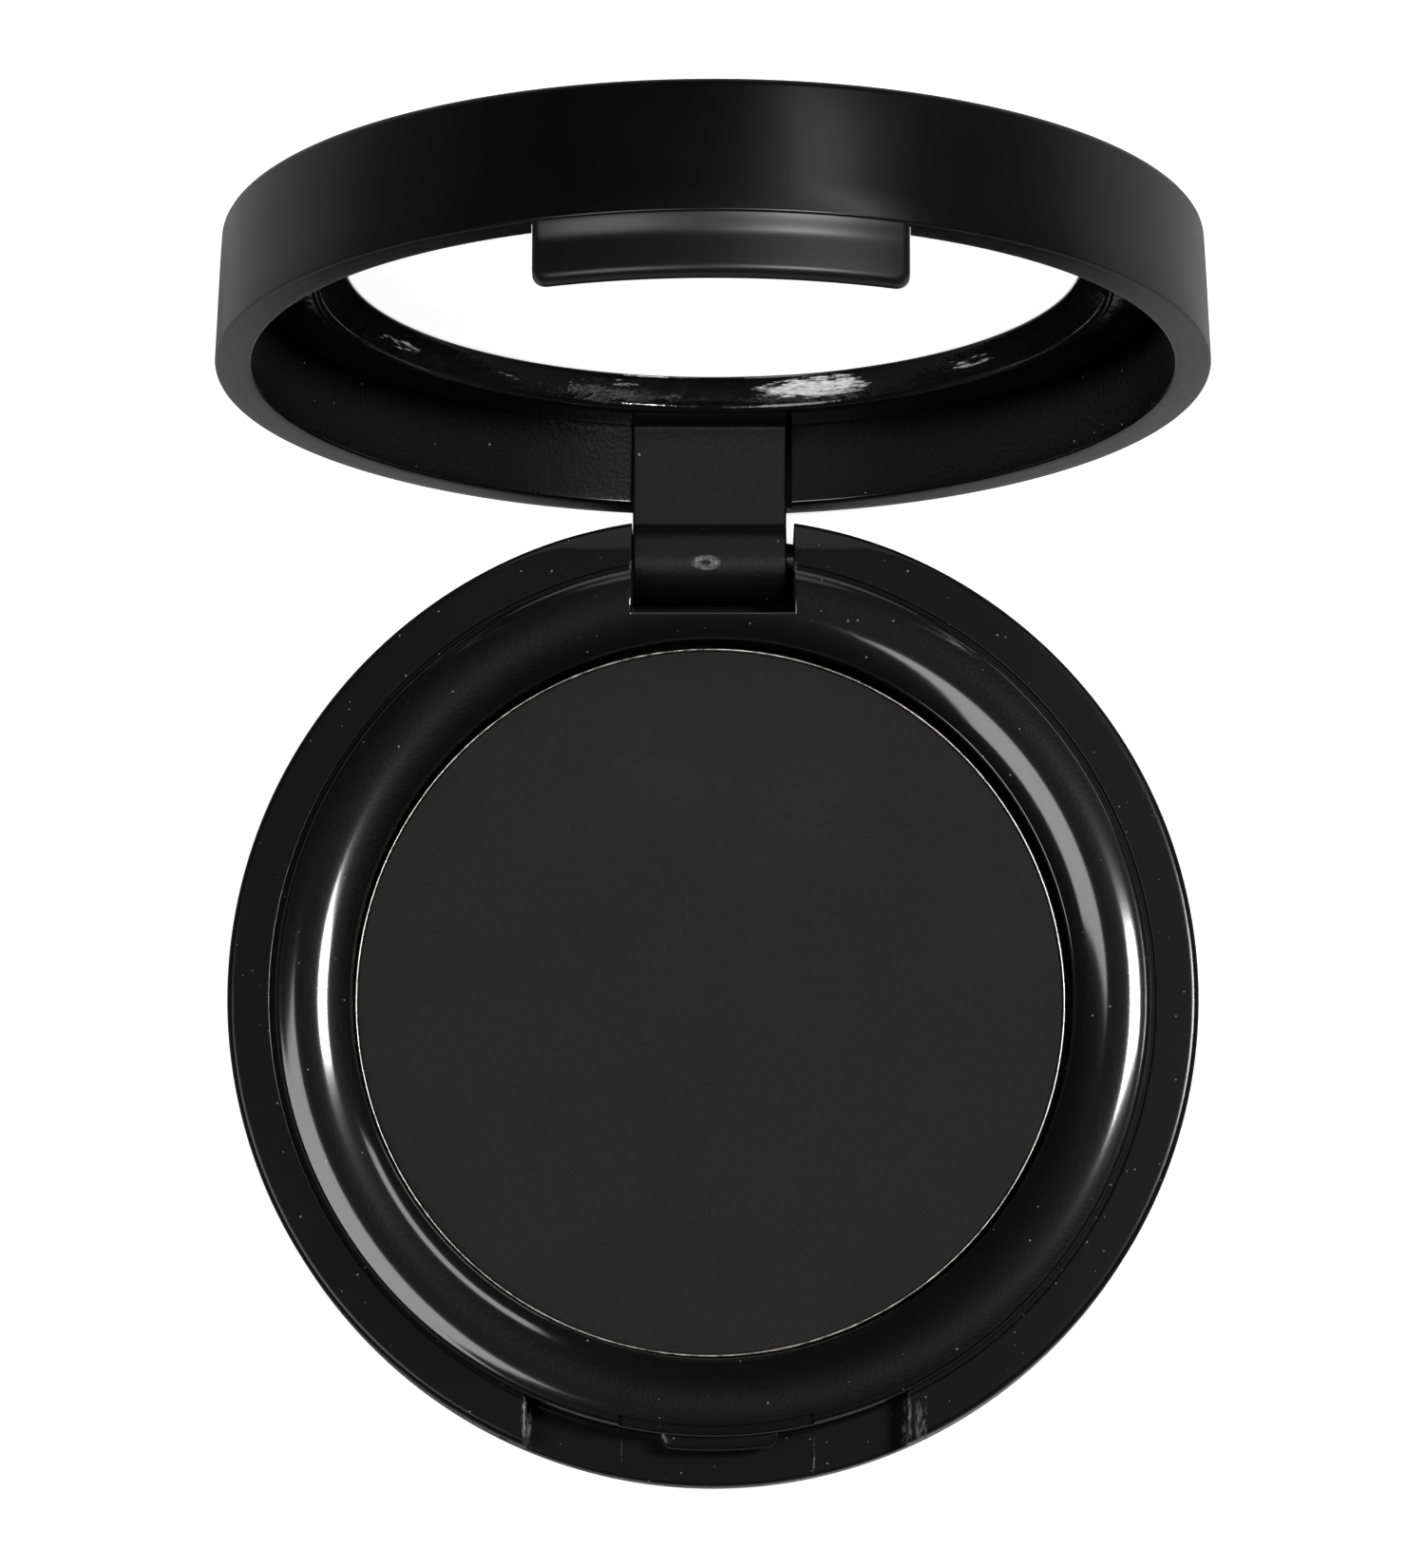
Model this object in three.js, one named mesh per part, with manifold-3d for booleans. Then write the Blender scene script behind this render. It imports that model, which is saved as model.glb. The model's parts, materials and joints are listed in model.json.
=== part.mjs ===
// Round mirrored eyeshadow compact with a snap lid, shown open on its hinge.
// Millimetres, +Z up. The origin is the centre of the flat underside of the base.
// The hinge is at +Y, the latch at -Y. The lid is built closed and turned on its hinge.

import * as THREE from 'three';
import { mergeVertices } from 'three/addons/utils/BufferGeometryUtils.js';
import Module from 'manifold-3d';

// Driving dimensions

const baseRadius = 30;         // outside of base and lid where they meet
const ledgeHeight = 9.2;       // table to the ledge that the lid closes on
const lidHeight = 8.36;        // rim to the top edge of the lid
const lidCrown = 0.9;          // how far the top of the lid domes up
const lidDraft = 0.35;         // how much the lid wall leans in towards the top
const openAngle = THREE.MathUtils.degToRad(101);

const closeGap = 0.2;          // ledge to rim with the lid closed
const fitGap = 0.3;            // between pieces side by side
const stackGap = 0.15;         // between thin layers stacked flat

const wall = 1.2;              // moulded wall
const cupWall = 1.4;           // outer wall of the base cup
const ledgeThickness = 1.8;
const floorThickness = 1.2;
const wellFloorThickness = 1;
const edgeRound = 0.8;         // bottom edge of the cup
const ledgeEdge = 0.3;         // chamfer round the ledge

const ledgeWidth = 2.95;       // outside of the base to the foot of the ring
const ringWidth = 4.8;         // raised ring round the well
const ringCrestShare = 0.625;  // from the well to the ring's highest line, as a share
const ringHeight = 1.1;        // crest above the ledge
const ringCurve = 6;           // radius of the ring's rounded top
const ringEdge = 0.35;         // rounded edges of the ring
const ringRoof = 0.6;          // underside of the ring below the ledge

const panHeight = 4.1;
const panSideGap = 0.4;
const panSheet = 0.4;          // pan metal
const panCorner = 0.5;
const panDrop = 0.6;           // pan rim below the ledge
const powderDrop = 0.25;       // powder below the pan rim
const powderCorner = 0.6;
const powderEdge = 0.15;
const glueThickness = 0.2;
const glueMargin = 1.5;        // pan wall to the edge of the adhesive

const hingeDrop = 3.8;         // hinge axis below the ledge
const knuckleRadius = 2.4;
const knuckleSetback = 0.32;   // knuckle in from the outside of the base
const lugWidth = 9.6;
const lugFace = 0.6;           // arm face in front of the hinge axis
const armThickness = 1.92;
const footLength = 1.9;        // foot of the lug along the lid ceiling
const pinRadius = 0.65;
const earWidth = 3.3;          // ears that carry the pin
const notchFrontGap = 1.05;    // knuckle to the front wall of the notch
const notchFloorGap = 0.7;     // knuckle to the floor of the notch
const notchSideGap = 0.2;
const notchFloorReach = 1.75;  // notch floor behind the hinge axis
const reliefGap = 0.05;        // turning rim to the relief behind the hinge
const reliefStart = 85;        // degrees on the relief's arc
const reliefEnd = 44;

const recessSideGap = 0.7;     // latch tab to the side of the thumb recess
const recessDepth = 3.9;
const catchWidth = 7.2;
const catchReach = 0.9;
const catchHeight = 0.85;
const catchDrop = 0.8;         // catch below the ledge
const ringFlatWidth = 12;      // flat on the ring above the catch
const ringFlatReach = 0.65;
const ringFlatLift = 0.2;

const rimWidth = 2.2;          // flat rim of the lid
const cavityDraft = 0.3;
const roofDrop = 0.21;         // inside of the roof below the lid's top edge
const coneDepth = 1.7;         // ceiling to the mirror
const coneWidth = 1.55;
const coneEdge = 0.25;
const coneLip = 0.1;           // upright lip of the liner next to the mirror
const linerWall = 1.0;
const mirrorInset = 7.8;       // outside of the lid to the mirror opening
const mirrorTuck = 0.7;        // glass behind the edge of the mirror opening
const glassThickness = 0.7;
const filmThickness = 0.1;
const tapeThickness = 0.15;
const tapeMargin = 1.4;        // edge of the glass to the edge of the tape
const topRound = 0.5;          // top edge of the lid

const tabWidth = 22;
const tabLength = 3.65;        // below the rim
const tabInset = 0.5;          // tab face in from the lid wall
const tabThickness = 1.0;
const tabBead = 0.2;           // bead inside the tab that snaps under the catch
const tabBeadLow = 0.25;       // tab end to the bead's lower and upper edge
const tabBeadHigh = 0.6;
const tabBeadEnd = 0.9;        // tab end to the upper foot of the bead
const tabEdge = 0.4;
const tabRoot = 2.5;           // length let into the lid wall
const tabRootThickness = 0.6;
const tabCorner = 0.9;

const turns = 64;              // facets around the compact
const pinFacets = 20;
const knuckleFacets = 40;
const cornerShare = 0.3;       // where a chamfered corner's middle point lies

// Derived places

const ringOuter = baseRadius - ledgeWidth;
const wellRadius = ringOuter - ringWidth;
const ringCrest = wellRadius + ringWidth * ringCrestShare;
const ringUnder = ledgeHeight - ringRoof;
const hingeY = baseRadius - knuckleRadius - knuckleSetback;
const hingeZ = ledgeHeight - hingeDrop;
const rimZ = ledgeHeight + closeGap;
const axisBelowRim = rimZ - hingeZ;
const ledgeUnder = ledgeHeight - ledgeThickness;
const cupTop = ledgeUnder - fitGap;
const cupInner = baseRadius - cupWall;
const skirtOuter = cupInner - fitGap;
const panRim = ledgeHeight - panDrop;
const panBottom = panRim - panHeight;
const wellFloor = panBottom - glueThickness - 2 * stackGap;
const wellUnder = wellFloor - wellFloorThickness;
const panRadius = wellRadius - panSideGap;
const recessFloor = ledgeHeight - recessDepth;
const recessHalf = tabWidth / 2 + recessSideGap;
const notchHalf = lugWidth / 2 + notchSideGap;
const notchFront = hingeY - knuckleRadius - notchFrontGap;
const notchFloor = hingeZ - knuckleRadius - notchFloorGap;
const notchFloorEnd = hingeY + notchFloorReach;
const notchUnder = floorThickness + fitGap;
const earHalf = notchHalf + earWidth;
const pinHole = pinRadius + fitGap;
const pinHalf = earHalf - fitGap;
const cavityRadius = baseRadius - rimWidth;
const ceilingRadius = cavityRadius - cavityDraft;
const lidInnerTop = lidHeight - roofDrop;
const tapeFront = lidInnerTop - stackGap - tapeThickness;
const glassFront = tapeFront - stackGap - glassThickness;
const filmFront = glassFront - stackGap - filmThickness;
const mirrorDepth = filmFront - stackGap;
const ceilingDepth = mirrorDepth - coneDepth;
const mirrorOpening = baseRadius - mirrorInset;
const mirrorRadius = mirrorOpening + mirrorTuck;
const linerOpening = mirrorOpening + coneWidth;
const linerRadius = ceilingRadius - fitGap;
const linerPocket = mirrorRadius + fitGap;
const linerBack = lidInnerTop - fitGap;
const armFront = hingeY - lugFace;
const armBack = armFront + armThickness;
const tabOuter = baseRadius - tabInset;
const tabInner = tabOuter - tabThickness;
const tabRootOuter = tabInner + tabRootThickness;
const pocketStart = ceilingRadius - 1;  // lid pockets are cut from here outwards
const far = 2 * baseRadius;

// Geometry helpers

const wasm = await Module();
wasm.setup();

// A closed three.js geometry as a solid that can be joined and cut.
function solid(geometry) {
  geometry.deleteAttribute('normal');
  geometry.deleteAttribute('uv');
  const merged = mergeVertices(geometry, 1e-4);
  const index = merged.index.array;
  const triVerts = [];
  for (let i = 0; i < index.length; i += 3) {
    const [a, b, c] = [index[i], index[i + 1], index[i + 2]];
    if (a !== b && b !== c && c !== a) triVerts.push(a, b, c);
  }
  return new wasm.Manifold(new wasm.Mesh({
    numProp: 3,
    vertProperties: new Float32Array(merged.attributes.position.array),
    triVerts: new Uint32Array(triVerts),
  }));
}

// A solid back as a three.js geometry.
function geometryOf(body) {
  const mesh = body.getMesh();
  const geometry = new THREE.BufferGeometry();
  geometry.setAttribute('position', new THREE.BufferAttribute(mesh.vertProperties, 3));
  geometry.setIndex(new THREE.BufferAttribute(mesh.triVerts, 1));
  geometry.computeVertexNormals();
  return geometry;
}

// A profile of [radius, height] points, counter-clockwise, turned about Z. A profile that
// doesn't touch the axis is closed into a ring.
function turned(profile) {
  const points = profile.map(([r, z]) => new THREE.Vector2(r, z));
  if (profile[0][0] > 0) points.push(points[0].clone());
  return solid(new THREE.LatheGeometry(points, turns).rotateX(Math.PI / 2));
}

function disc(radius, bottom, top) {
  return turned([[0, bottom], [radius, bottom], [radius, top], [0, top]]);
}

function box(x0, x1, y0, y1, z0, z1) {
  const geometry = new THREE.BoxGeometry(x1 - x0, y1 - y0, z1 - z0);
  return solid(geometry.translate((x0 + x1) / 2, (y0 + y1) / 2, (z0 + z1) / 2));
}

// A box that is as wide to the left as to the right.
function centredBox(halfWidth, y0, y1, z0, z1) {
  return box(-halfWidth, halfWidth, y0, y1, z0, z1);
}

// A cylinder along X.
function rod(radius, length, y, z, facets) {
  const geometry = new THREE.CylinderGeometry(radius, radius, length, facets);
  return solid(geometry.rotateZ(Math.PI / 2).translate(0, y, z));
}

// An outline of [y, z] points pushed out along X, as wide to the left as to the right.
function ridge(outline, halfWidth) {
  const shape = new THREE.Shape(outline.map(([y, z]) => new THREE.Vector2(y, z)));
  const geometry = new THREE.ExtrudeGeometry(shape, { depth: 2 * halfWidth, bevelEnabled: false });
  geometry.applyMatrix4(new THREE.Matrix4().set(
    0, 0, 1, -halfWidth,
    1, 0, 0, 0,
    0, 1, 0, 0,
    0, 0, 0, 1,
  ));
  return solid(geometry);
}

// Points on an arc between two angles in degrees.
function arc(centreY, centreZ, radius, from, to, steps) {
  const points = [];
  for (let i = 0; i <= steps; i += 1) {
    const angle = THREE.MathUtils.degToRad(from + ((to - from) * i) / steps);
    points.push([centreY + radius * Math.cos(angle), centreZ + radius * Math.sin(angle)]);
  }
  return points;
}

// Base

function baseCup() {
  let body = turned([
    [0, 0],
    [baseRadius - edgeRound, 0],
    [baseRadius - edgeRound * cornerShare, edgeRound * cornerShare],
    [baseRadius, edgeRound],
    [baseRadius, cupTop],
    [cupInner, cupTop],
    [cupInner, floorThickness],
    [0, floorThickness],
  ]);
  // the deck's recess box and its hinge ears pass through the wall
  const frontHalf = recessHalf + wall + fitGap;
  body = body.subtract(centredBox(frontHalf, -far, 0, recessFloor - wall - fitGap, far));
  body = body.subtract(centredBox(earHalf + fitGap, notchFront, far, floorThickness, far));
  body = body.subtract(centredBox(notchHalf, notchFloorEnd + fitGap, far, -1, far));
  return body;
}

// Height of the raised ring's rounded top at a radius.
function ringTop(radius) {
  const drop = ringCurve - Math.sqrt(ringCurve ** 2 - (radius - ringCrest) ** 2);
  return ledgeHeight + ringHeight - drop;
}

// The raised ring from its outer foot over the crest to the edge of the well.
function ringProfile() {
  const outerTop = ringTop(ringOuter - ringEdge);
  const innerTop = ringTop(wellRadius + ringEdge);
  const steps = 6;
  const points = [[ringOuter, ledgeHeight], [ringOuter, outerTop - ringEdge]];
  for (let i = 0; i <= steps; i += 1) {
    const start = ringOuter - ringEdge;
    const radius = start + ((wellRadius + ringEdge - start) * i) / steps;
    points.push([radius, ringTop(radius)]);
  }
  points.push([wellRadius, innerTop - ringEdge]);
  return points;
}

function baseDeck() {
  const wellOuter = wellRadius + wall;
  let body = turned([
    [0, wellUnder],
    [wellOuter, wellUnder],
    [wellOuter, ringUnder],
    [skirtOuter - wall - ringRoof, ringUnder],
    [skirtOuter - wall, ledgeUnder],
    [skirtOuter - wall, wellUnder],
    [skirtOuter, wellUnder],
    [skirtOuter, ledgeUnder],
    [baseRadius, ledgeUnder],
    [baseRadius, ledgeHeight - ledgeEdge],
    [baseRadius - ledgeEdge, ledgeHeight],
    ...ringProfile(),
    [wellRadius, wellFloor],
    [0, wellFloor],
  ]);

  // box around the hinge notch, with the ears that carry the pin; it stops at the well
  const notchBox = centredBox(earHalf, notchFront - wall, far, notchUnder, ringUnder);
  const round = disc(baseRadius, 0, ringUnder).subtract(disc(wellRadius, wellFloor, far));
  body = body.add(notchBox.intersect(round));
  body = body.subtract(centredBox(notchHalf, notchFront, far, notchFloor, far));
  body = body.subtract(centredBox(notchHalf, notchFloorEnd, far, 0, far));
  body = body.subtract(rod(pinHole, far, hingeY, hingeZ, pinFacets));

  // box around the thumb recess
  const recessUnder = recessFloor - wall;
  const front = turned([
    [ringOuter - wall, recessUnder],
    [baseRadius, recessUnder],
    [baseRadius, ringUnder],
    [ringOuter - wall, ringUnder],
  ]);
  body = body.add(front.intersect(centredBox(recessHalf + wall, -far, 0, 0, far)));
  const recess = centredBox(recessHalf, -far, 0, recessFloor, far).subtract(disc(ringOuter, 0, far));
  body = body.subtract(recess);

  // flat on the ring above the catch, and the catch itself
  const flat = centredBox(ringFlatWidth / 2, -far, 0, ledgeHeight + ringFlatLift, far);
  body = body.subtract(flat.subtract(disc(ringOuter - ringFlatReach, 0, far)));
  const catchTop = ledgeHeight - catchDrop;
  const bump = turned([
    [ringOuter - wall / 2, catchTop - catchHeight],
    [ringOuter + catchReach * 0.5, catchTop - catchHeight],
    [ringOuter + catchReach, catchTop - catchHeight * 0.6],
    [ringOuter + catchReach, catchTop - catchHeight * 0.3],
    [ringOuter + catchReach * 0.6, catchTop],
    [ringOuter - wall / 2, catchTop],
  ]);
  body = body.add(bump.intersect(centredBox(catchWidth / 2, -far, 0, 0, far)));

  // behind the hinge axis the deck falls away, so that the rim of the lid can turn past it
  const reach = hingeDrop - reliefGap;
  const relief = ridge([
    [hingeY - lugFace, ledgeHeight],
    ...arc(hingeY, hingeZ, reach, reliefStart, reliefEnd, 5),
    [far, hingeZ + hingeDrop * Math.sin(THREE.MathUtils.degToRad(reliefEnd))],
    [far, far],
    [hingeY - lugFace, far],
  ], far);
  return body.subtract(relief);
}

function hingePin() {
  return rod(pinRadius, 2 * pinHalf, hingeY, hingeZ, pinFacets);
}

function panAdhesive() {
  const bottom = wellFloor + stackGap;
  return disc(panRadius - glueMargin, bottom, bottom + glueThickness);
}

function pan() {
  const inner = panRadius - panSheet;
  return turned([
    [0, panBottom],
    [panRadius - panCorner, panBottom],
    [panRadius, panBottom + panCorner],
    [panRadius, panRim],
    [inner, panRim],
    [inner, panBottom + panCorner + panSheet / 2],
    [inner - panCorner, panBottom + panSheet],
    [0, panBottom + panSheet],
  ]);
}

function powderCake() {
  const radius = panRadius - panSheet - fitGap;
  const bottom = panBottom + panSheet + stackGap;
  const top = panRim - powderDrop;
  return turned([
    [0, bottom],
    [radius - powderCorner, bottom],
    [radius, bottom + powderCorner],
    [radius, top - powderEdge],
    [radius - powderEdge, top],
    [0, top],
  ]);
}

// Lid, closed: its rim is at Z = 0 and its top is up

function lidShell() {
  const topRadius = baseRadius - lidDraft;
  const domeRadius = topRadius - topRound;
  const dome = (r) => [r, lidHeight + lidCrown * (1 - (r / domeRadius) ** 2)];
  let body = turned([
    [0, lidInnerTop],
    [ceilingRadius, lidInnerTop],
    [ceilingRadius, ceilingDepth],
    [cavityRadius, 0],
    [baseRadius, 0],
    [topRadius, lidHeight - topRound],
    [topRadius - topRound * cornerShare, lidHeight - topRound * cornerShare],
    dome(domeRadius),
    dome(domeRadius * 0.75),
    dome(domeRadius * 0.5),
    dome(domeRadius * 0.25),
    dome(0),
  ]);
  // pockets for the hinge lug and for the root of the latch tab
  const lugPocket = centredBox(lugWidth / 2 + fitGap, 0, armBack + fitGap, -1, lidInnerTop);
  body = body.subtract(lugPocket.subtract(disc(pocketStart, -1, lidInnerTop)));
  const tabPocket = centredBox(tabWidth / 2 + fitGap, -far, 0, -1, tabRoot + fitGap);
  const tabReach = disc(tabRootOuter + fitGap, -1, far).subtract(disc(pocketStart, -1, far));
  return body.subtract(tabPocket.intersect(tabReach));
}

function lidLiner() {
  const underside = ceilingDepth + linerWall;
  const body = turned([
    [linerOpening + coneEdge, ceilingDepth],
    [linerOpening, ceilingDepth + coneEdge],
    [mirrorOpening, mirrorDepth - coneLip],
    [mirrorOpening, mirrorDepth],
    [linerPocket, mirrorDepth],
    [linerPocket, linerBack],
    [linerPocket + linerWall, linerBack],
    [linerPocket + linerWall, underside],
    [linerRadius - linerWall, underside],
    [linerRadius - linerWall, linerBack],
    [linerRadius, linerBack],
    [linerRadius, ceilingDepth],
  ].reverse());
  // gap for the foot and arm of the lug
  const gap = centredBox(lugWidth / 2 + fitGap, armFront - footLength - fitGap, far, 0, far);
  return body.subtract(gap);
}

function mirrorFilm() {
  return disc(mirrorRadius, filmFront, filmFront + filmThickness);
}

function mirrorGlass() {
  return disc(mirrorRadius, glassFront, glassFront + glassThickness);
}

function mirrorTape() {
  return disc(mirrorRadius - tapeMargin, tapeFront, tapeFront + tapeThickness);
}

function hingeLug() {
  const half = lugWidth / 2;
  const top = lidInnerTop - fitGap;
  let body = rod(knuckleRadius, lugWidth, hingeY, -axisBelowRim, knuckleFacets);
  body = body.add(centredBox(half, armFront, armBack, -axisBelowRim, top));
  body = body.add(centredBox(half, armFront - footLength, armBack, ceilingDepth, top));
  return body.subtract(rod(pinHole, far, hingeY, -axisBelowRim, pinFacets));
}

function latchTab() {
  const body = turned([
    [tabInner, -tabLength + tabBeadEnd],
    [tabInner - tabBead, -tabLength + tabBeadHigh],
    [tabInner - tabBead, -tabLength + tabBeadLow],
    [tabInner, -tabLength],
    [tabOuter - tabEdge, -tabLength],
    [tabOuter, -tabLength + tabEdge],
    [tabOuter, -fitGap],
    [tabRootOuter, -fitGap],
    [tabRootOuter, tabRoot],
    [tabInner, tabRoot],
  ]);
  const half = tabWidth / 2;
  const face = new THREE.Shape();
  face.moveTo(-half, tabRoot + 1);
  face.lineTo(-half, -tabLength + tabCorner);
  face.absarc(-half + tabCorner, -tabLength + tabCorner, tabCorner, Math.PI, Math.PI * 1.5);
  face.absarc(half - tabCorner, -tabLength + tabCorner, tabCorner, Math.PI * 1.5, Math.PI * 2);
  face.lineTo(half, tabRoot + 1);
  const options = { depth: far, bevelEnabled: false, curveSegments: 4 };
  const front = new THREE.ExtrudeGeometry(face, options).rotateX(Math.PI / 2);
  return body.intersect(solid(front));
}

// Assembly

const finishes = {
  deck: { color: 0x151516, roughness: 0.55 },
  shell: { color: 0x141415, roughness: 0.45 },
  gloss: { color: 0x0c0c0c, roughness: 0.12 },
  tin: { color: 0xb9b9b6, roughness: 0.35, metalness: 0.9 },
  steel: { color: 0xc2c2c4, roughness: 0.25, metalness: 1 },
  powder: { color: 0x252525, roughness: 0.9 },
  glass: { color: 0xdfe3e4, roughness: 0.05, metalness: 0.6 },
  film: { color: 0xfbfbfb, roughness: 0.4 },
  adhesive: { color: 0xd8d4c8, roughness: 0.6 },
};

function part(name, body, finish) {
  const mesh = new THREE.Mesh(geometryOf(body), new THREE.MeshStandardMaterial(finishes[finish]));
  mesh.name = name;
  return mesh;
}

const base = new THREE.Group();
base.add(
  part('base_cup', baseCup(), 'shell'),
  part('base_deck', baseDeck(), 'deck'),
  part('hinge_pin', hingePin(), 'steel'),
  part('pan_adhesive', panAdhesive(), 'adhesive'),
  part('pan', pan(), 'tin'),
  part('powder_cake', powderCake(), 'powder'),
);

// the lid's own frame, moved so that its hinge axis is the turning group's origin
const closedLid = new THREE.Group();
closedLid.position.set(0, -hingeY, axisBelowRim);
closedLid.add(
  part('lid_shell', lidShell(), 'shell'),
  part('lid_liner', lidLiner(), 'gloss'),
  part('mirror_film', mirrorFilm(), 'film'),
  part('mirror_glass', mirrorGlass(), 'glass'),
  part('mirror_tape', mirrorTape(), 'adhesive'),
  part('hinge_lug', hingeLug(), 'deck'),
  part('latch_tab', latchTab(), 'shell'),
);

const lid = new THREE.Group();
lid.position.set(0, hingeY, hingeZ);
lid.rotation.x = -openAngle;
lid.add(closedLid);

const compact = new THREE.Group();
compact.add(base, lid);

export default compact;
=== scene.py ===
import json
import math

import bmesh
import bpy
from mathutils import Matrix, Vector


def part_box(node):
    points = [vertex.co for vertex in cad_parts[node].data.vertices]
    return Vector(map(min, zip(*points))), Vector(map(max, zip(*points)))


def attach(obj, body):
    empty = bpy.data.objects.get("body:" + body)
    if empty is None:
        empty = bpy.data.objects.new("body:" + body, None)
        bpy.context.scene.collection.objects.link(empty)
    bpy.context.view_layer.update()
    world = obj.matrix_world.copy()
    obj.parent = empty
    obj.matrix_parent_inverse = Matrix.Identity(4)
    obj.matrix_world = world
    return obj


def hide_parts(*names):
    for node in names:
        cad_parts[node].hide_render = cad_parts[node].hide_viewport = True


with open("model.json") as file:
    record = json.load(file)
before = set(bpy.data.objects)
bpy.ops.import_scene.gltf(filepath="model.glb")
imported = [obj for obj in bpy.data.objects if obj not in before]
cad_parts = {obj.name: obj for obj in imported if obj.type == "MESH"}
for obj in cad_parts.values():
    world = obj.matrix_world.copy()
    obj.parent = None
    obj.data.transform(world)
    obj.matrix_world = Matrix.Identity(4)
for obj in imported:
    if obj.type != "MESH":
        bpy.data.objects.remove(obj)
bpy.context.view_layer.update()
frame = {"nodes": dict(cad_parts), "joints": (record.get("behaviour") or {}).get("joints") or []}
print("frame loaded")

mm = 0.001


def inMm(name):
    low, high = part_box(name)
    return low / mm, high / mm


# places taken from the frame, in millimetres
hingeJoint = next(joint for joint in frame["joints"] if joint["name"] == "lid_hinge")
hingeY, hingeZ = hingeJoint["pos_m"][1] / mm, hingeJoint["pos_m"][2] / mm
openAngle = math.radians(hingeJoint["range_deg"][1])
deckHigh = inMm("base_deck")[1]
cupHigh = inMm("base_cup")[1]
panLow, panHigh = inMm("pan")
powderLow, powderHigh = inMm("powder_cake")
lugHalf = inMm("hinge_lug")[1].x
tabHalf = inMm("latch_tab")[1].x
linerRadius = inMm("lid_liner")[1].x
glassRadius = inMm("mirror_glass")[1].x
baseRadius = deckHigh.x

ring = {"outer": 27.05, "crest": 25.25, "height": 1.1, "curve": 6.0, "edge": 0.35,
        "innerEdge": 0.12}
ledgeZ = deckHigh.z - ring["height"]
closedGap = 0.2  # between the lid's rim and the ledge
rimAboveAxis = ledgeZ + closedGap - hingeZ
closedToOpen = (
    Matrix.Translation(Vector((0, hingeY, hingeZ)) * mm)
    @ Matrix.Rotation(-openAngle, 4, "X")
    @ Matrix.Translation(Vector((0, -hingeY, rimAboveAxis)) * mm)
)


# a lid node's box with the lid closed and its rim at height 0
def closedBox(name):
    back = closedToOpen.inverted()
    points = [back @ vertex.co / mm for vertex in frame["nodes"][name].data.vertices]
    low = Vector([min(point[axis] for point in points) for axis in range(3)])
    high = Vector([max(point[axis] for point in points) for axis in range(3)])
    return low, high


filmLow, filmHigh = closedBox("mirror_film")
linerLow, linerHigh = closedBox("lid_liner")
shellHigh = closedBox("lid_shell")[1]
tabLow = closedBox("latch_tab")[0]
lugHigh = closedBox("hinge_lug")[1]


skin = {"merge": 2e-7, "tiny": 1e-7, "near": 0.001, "smoothAngle": 35, "barAngle": 50}


def toMesh(name, points, faces, smoothAngle=skin["smoothAngle"]):
    mesh = bpy.data.meshes.new(name)
    mesh.from_pydata([Vector(p) * mm for p in points], [], faces)
    work = bmesh.new()
    work.from_mesh(mesh)
    bmesh.ops.remove_doubles(work, verts=work.verts, dist=skin["merge"])
    bmesh.ops.dissolve_degenerate(work, edges=work.edges, dist=skin["tiny"])
    bmesh.ops.recalc_face_normals(work, faces=work.faces)
    for edge in work.edges:
        if len(edge.link_faces) == 2:
            edge.smooth = edge.calc_face_angle(0) < math.radians(smoothAngle)
    for face in work.faces:
        face.smooth = True
    work.to_mesh(mesh)
    work.free()
    piece = bpy.data.objects.new(name, mesh)
    bpy.context.scene.collection.objects.link(piece)
    return piece


# rows of points joined into a skin; a row of one point is a pole
def weave(rows):
    points, starts, faces = [], [], []
    for row in rows:
        starts.append(len(points))
        points += row
    for i in range(len(rows) - 1):
        here, there = rows[i], rows[i + 1]
        count = max(len(here), len(there))
        for j in range(count):
            k = (j + 1) % count
            if len(here) == 1:
                faces.append((starts[i], starts[i + 1] + k, starts[i + 1] + j))
            elif len(there) == 1:
                faces.append((starts[i] + j, starts[i] + k, starts[i + 1]))
            else:
                faces.append((starts[i] + j, starts[i] + k, starts[i + 1] + k, starts[i + 1] + j))
    return points, faces


# closes the two ends of a woven bar whose rows hold size points each
def closeEnds(faces, pointCount, size):
    faces.append(tuple(range(size)))
    faces.append(tuple(reversed(range(pointCount - size, pointCount))))


# a profile of (radius, height) turned about Z
def lathe(name, profile, segments=256):
    rows = []
    for radius, z in profile:
        if radius == 0:
            rows.append([(0, 0, z)])
            continue
        turn = [2 * math.pi * i / segments for i in range(segments)]
        rows.append([(radius * math.cos(a), radius * math.sin(a), z) for a in turn])
    return toMesh(name, *weave(rows))


def arcPoints(centreX, centreY, radius, fromDegrees, toDegrees, steps=6):
    points = []
    for i in range(steps + 1):
        angle = math.radians(fromDegrees + (toDegrees - fromDegrees) * i / steps)
        points.append((centreX + radius * math.cos(angle), centreY + radius * math.sin(angle)))
    return points


def smoothStep(low, high, value):
    t = min(max((value - low) / (high - low), 0), 1)
    return t * t * (3 - 2 * t)


# how far a rounded edge has fallen at a distance inside it
def edgeDrop(distance, roundness):
    if distance >= roundness:
        return 0
    return roundness - math.sqrt(max(roundness**2 - (roundness - distance) ** 2, 0))


# Spokes round the compact. Near the hinge and the latch they keep a constant x, so that the
# straight sides of notches and recesses lie along them.
band = {"half": 14.0, "radius": 20.0, "step": 0.7, "sides": 76, "sliver": 0.02, "clear": 0.12,
        "beside": (0, 0.02, 0.05, 0.09, 0.14, 0.2), "tolerance": 1e-6}


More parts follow.
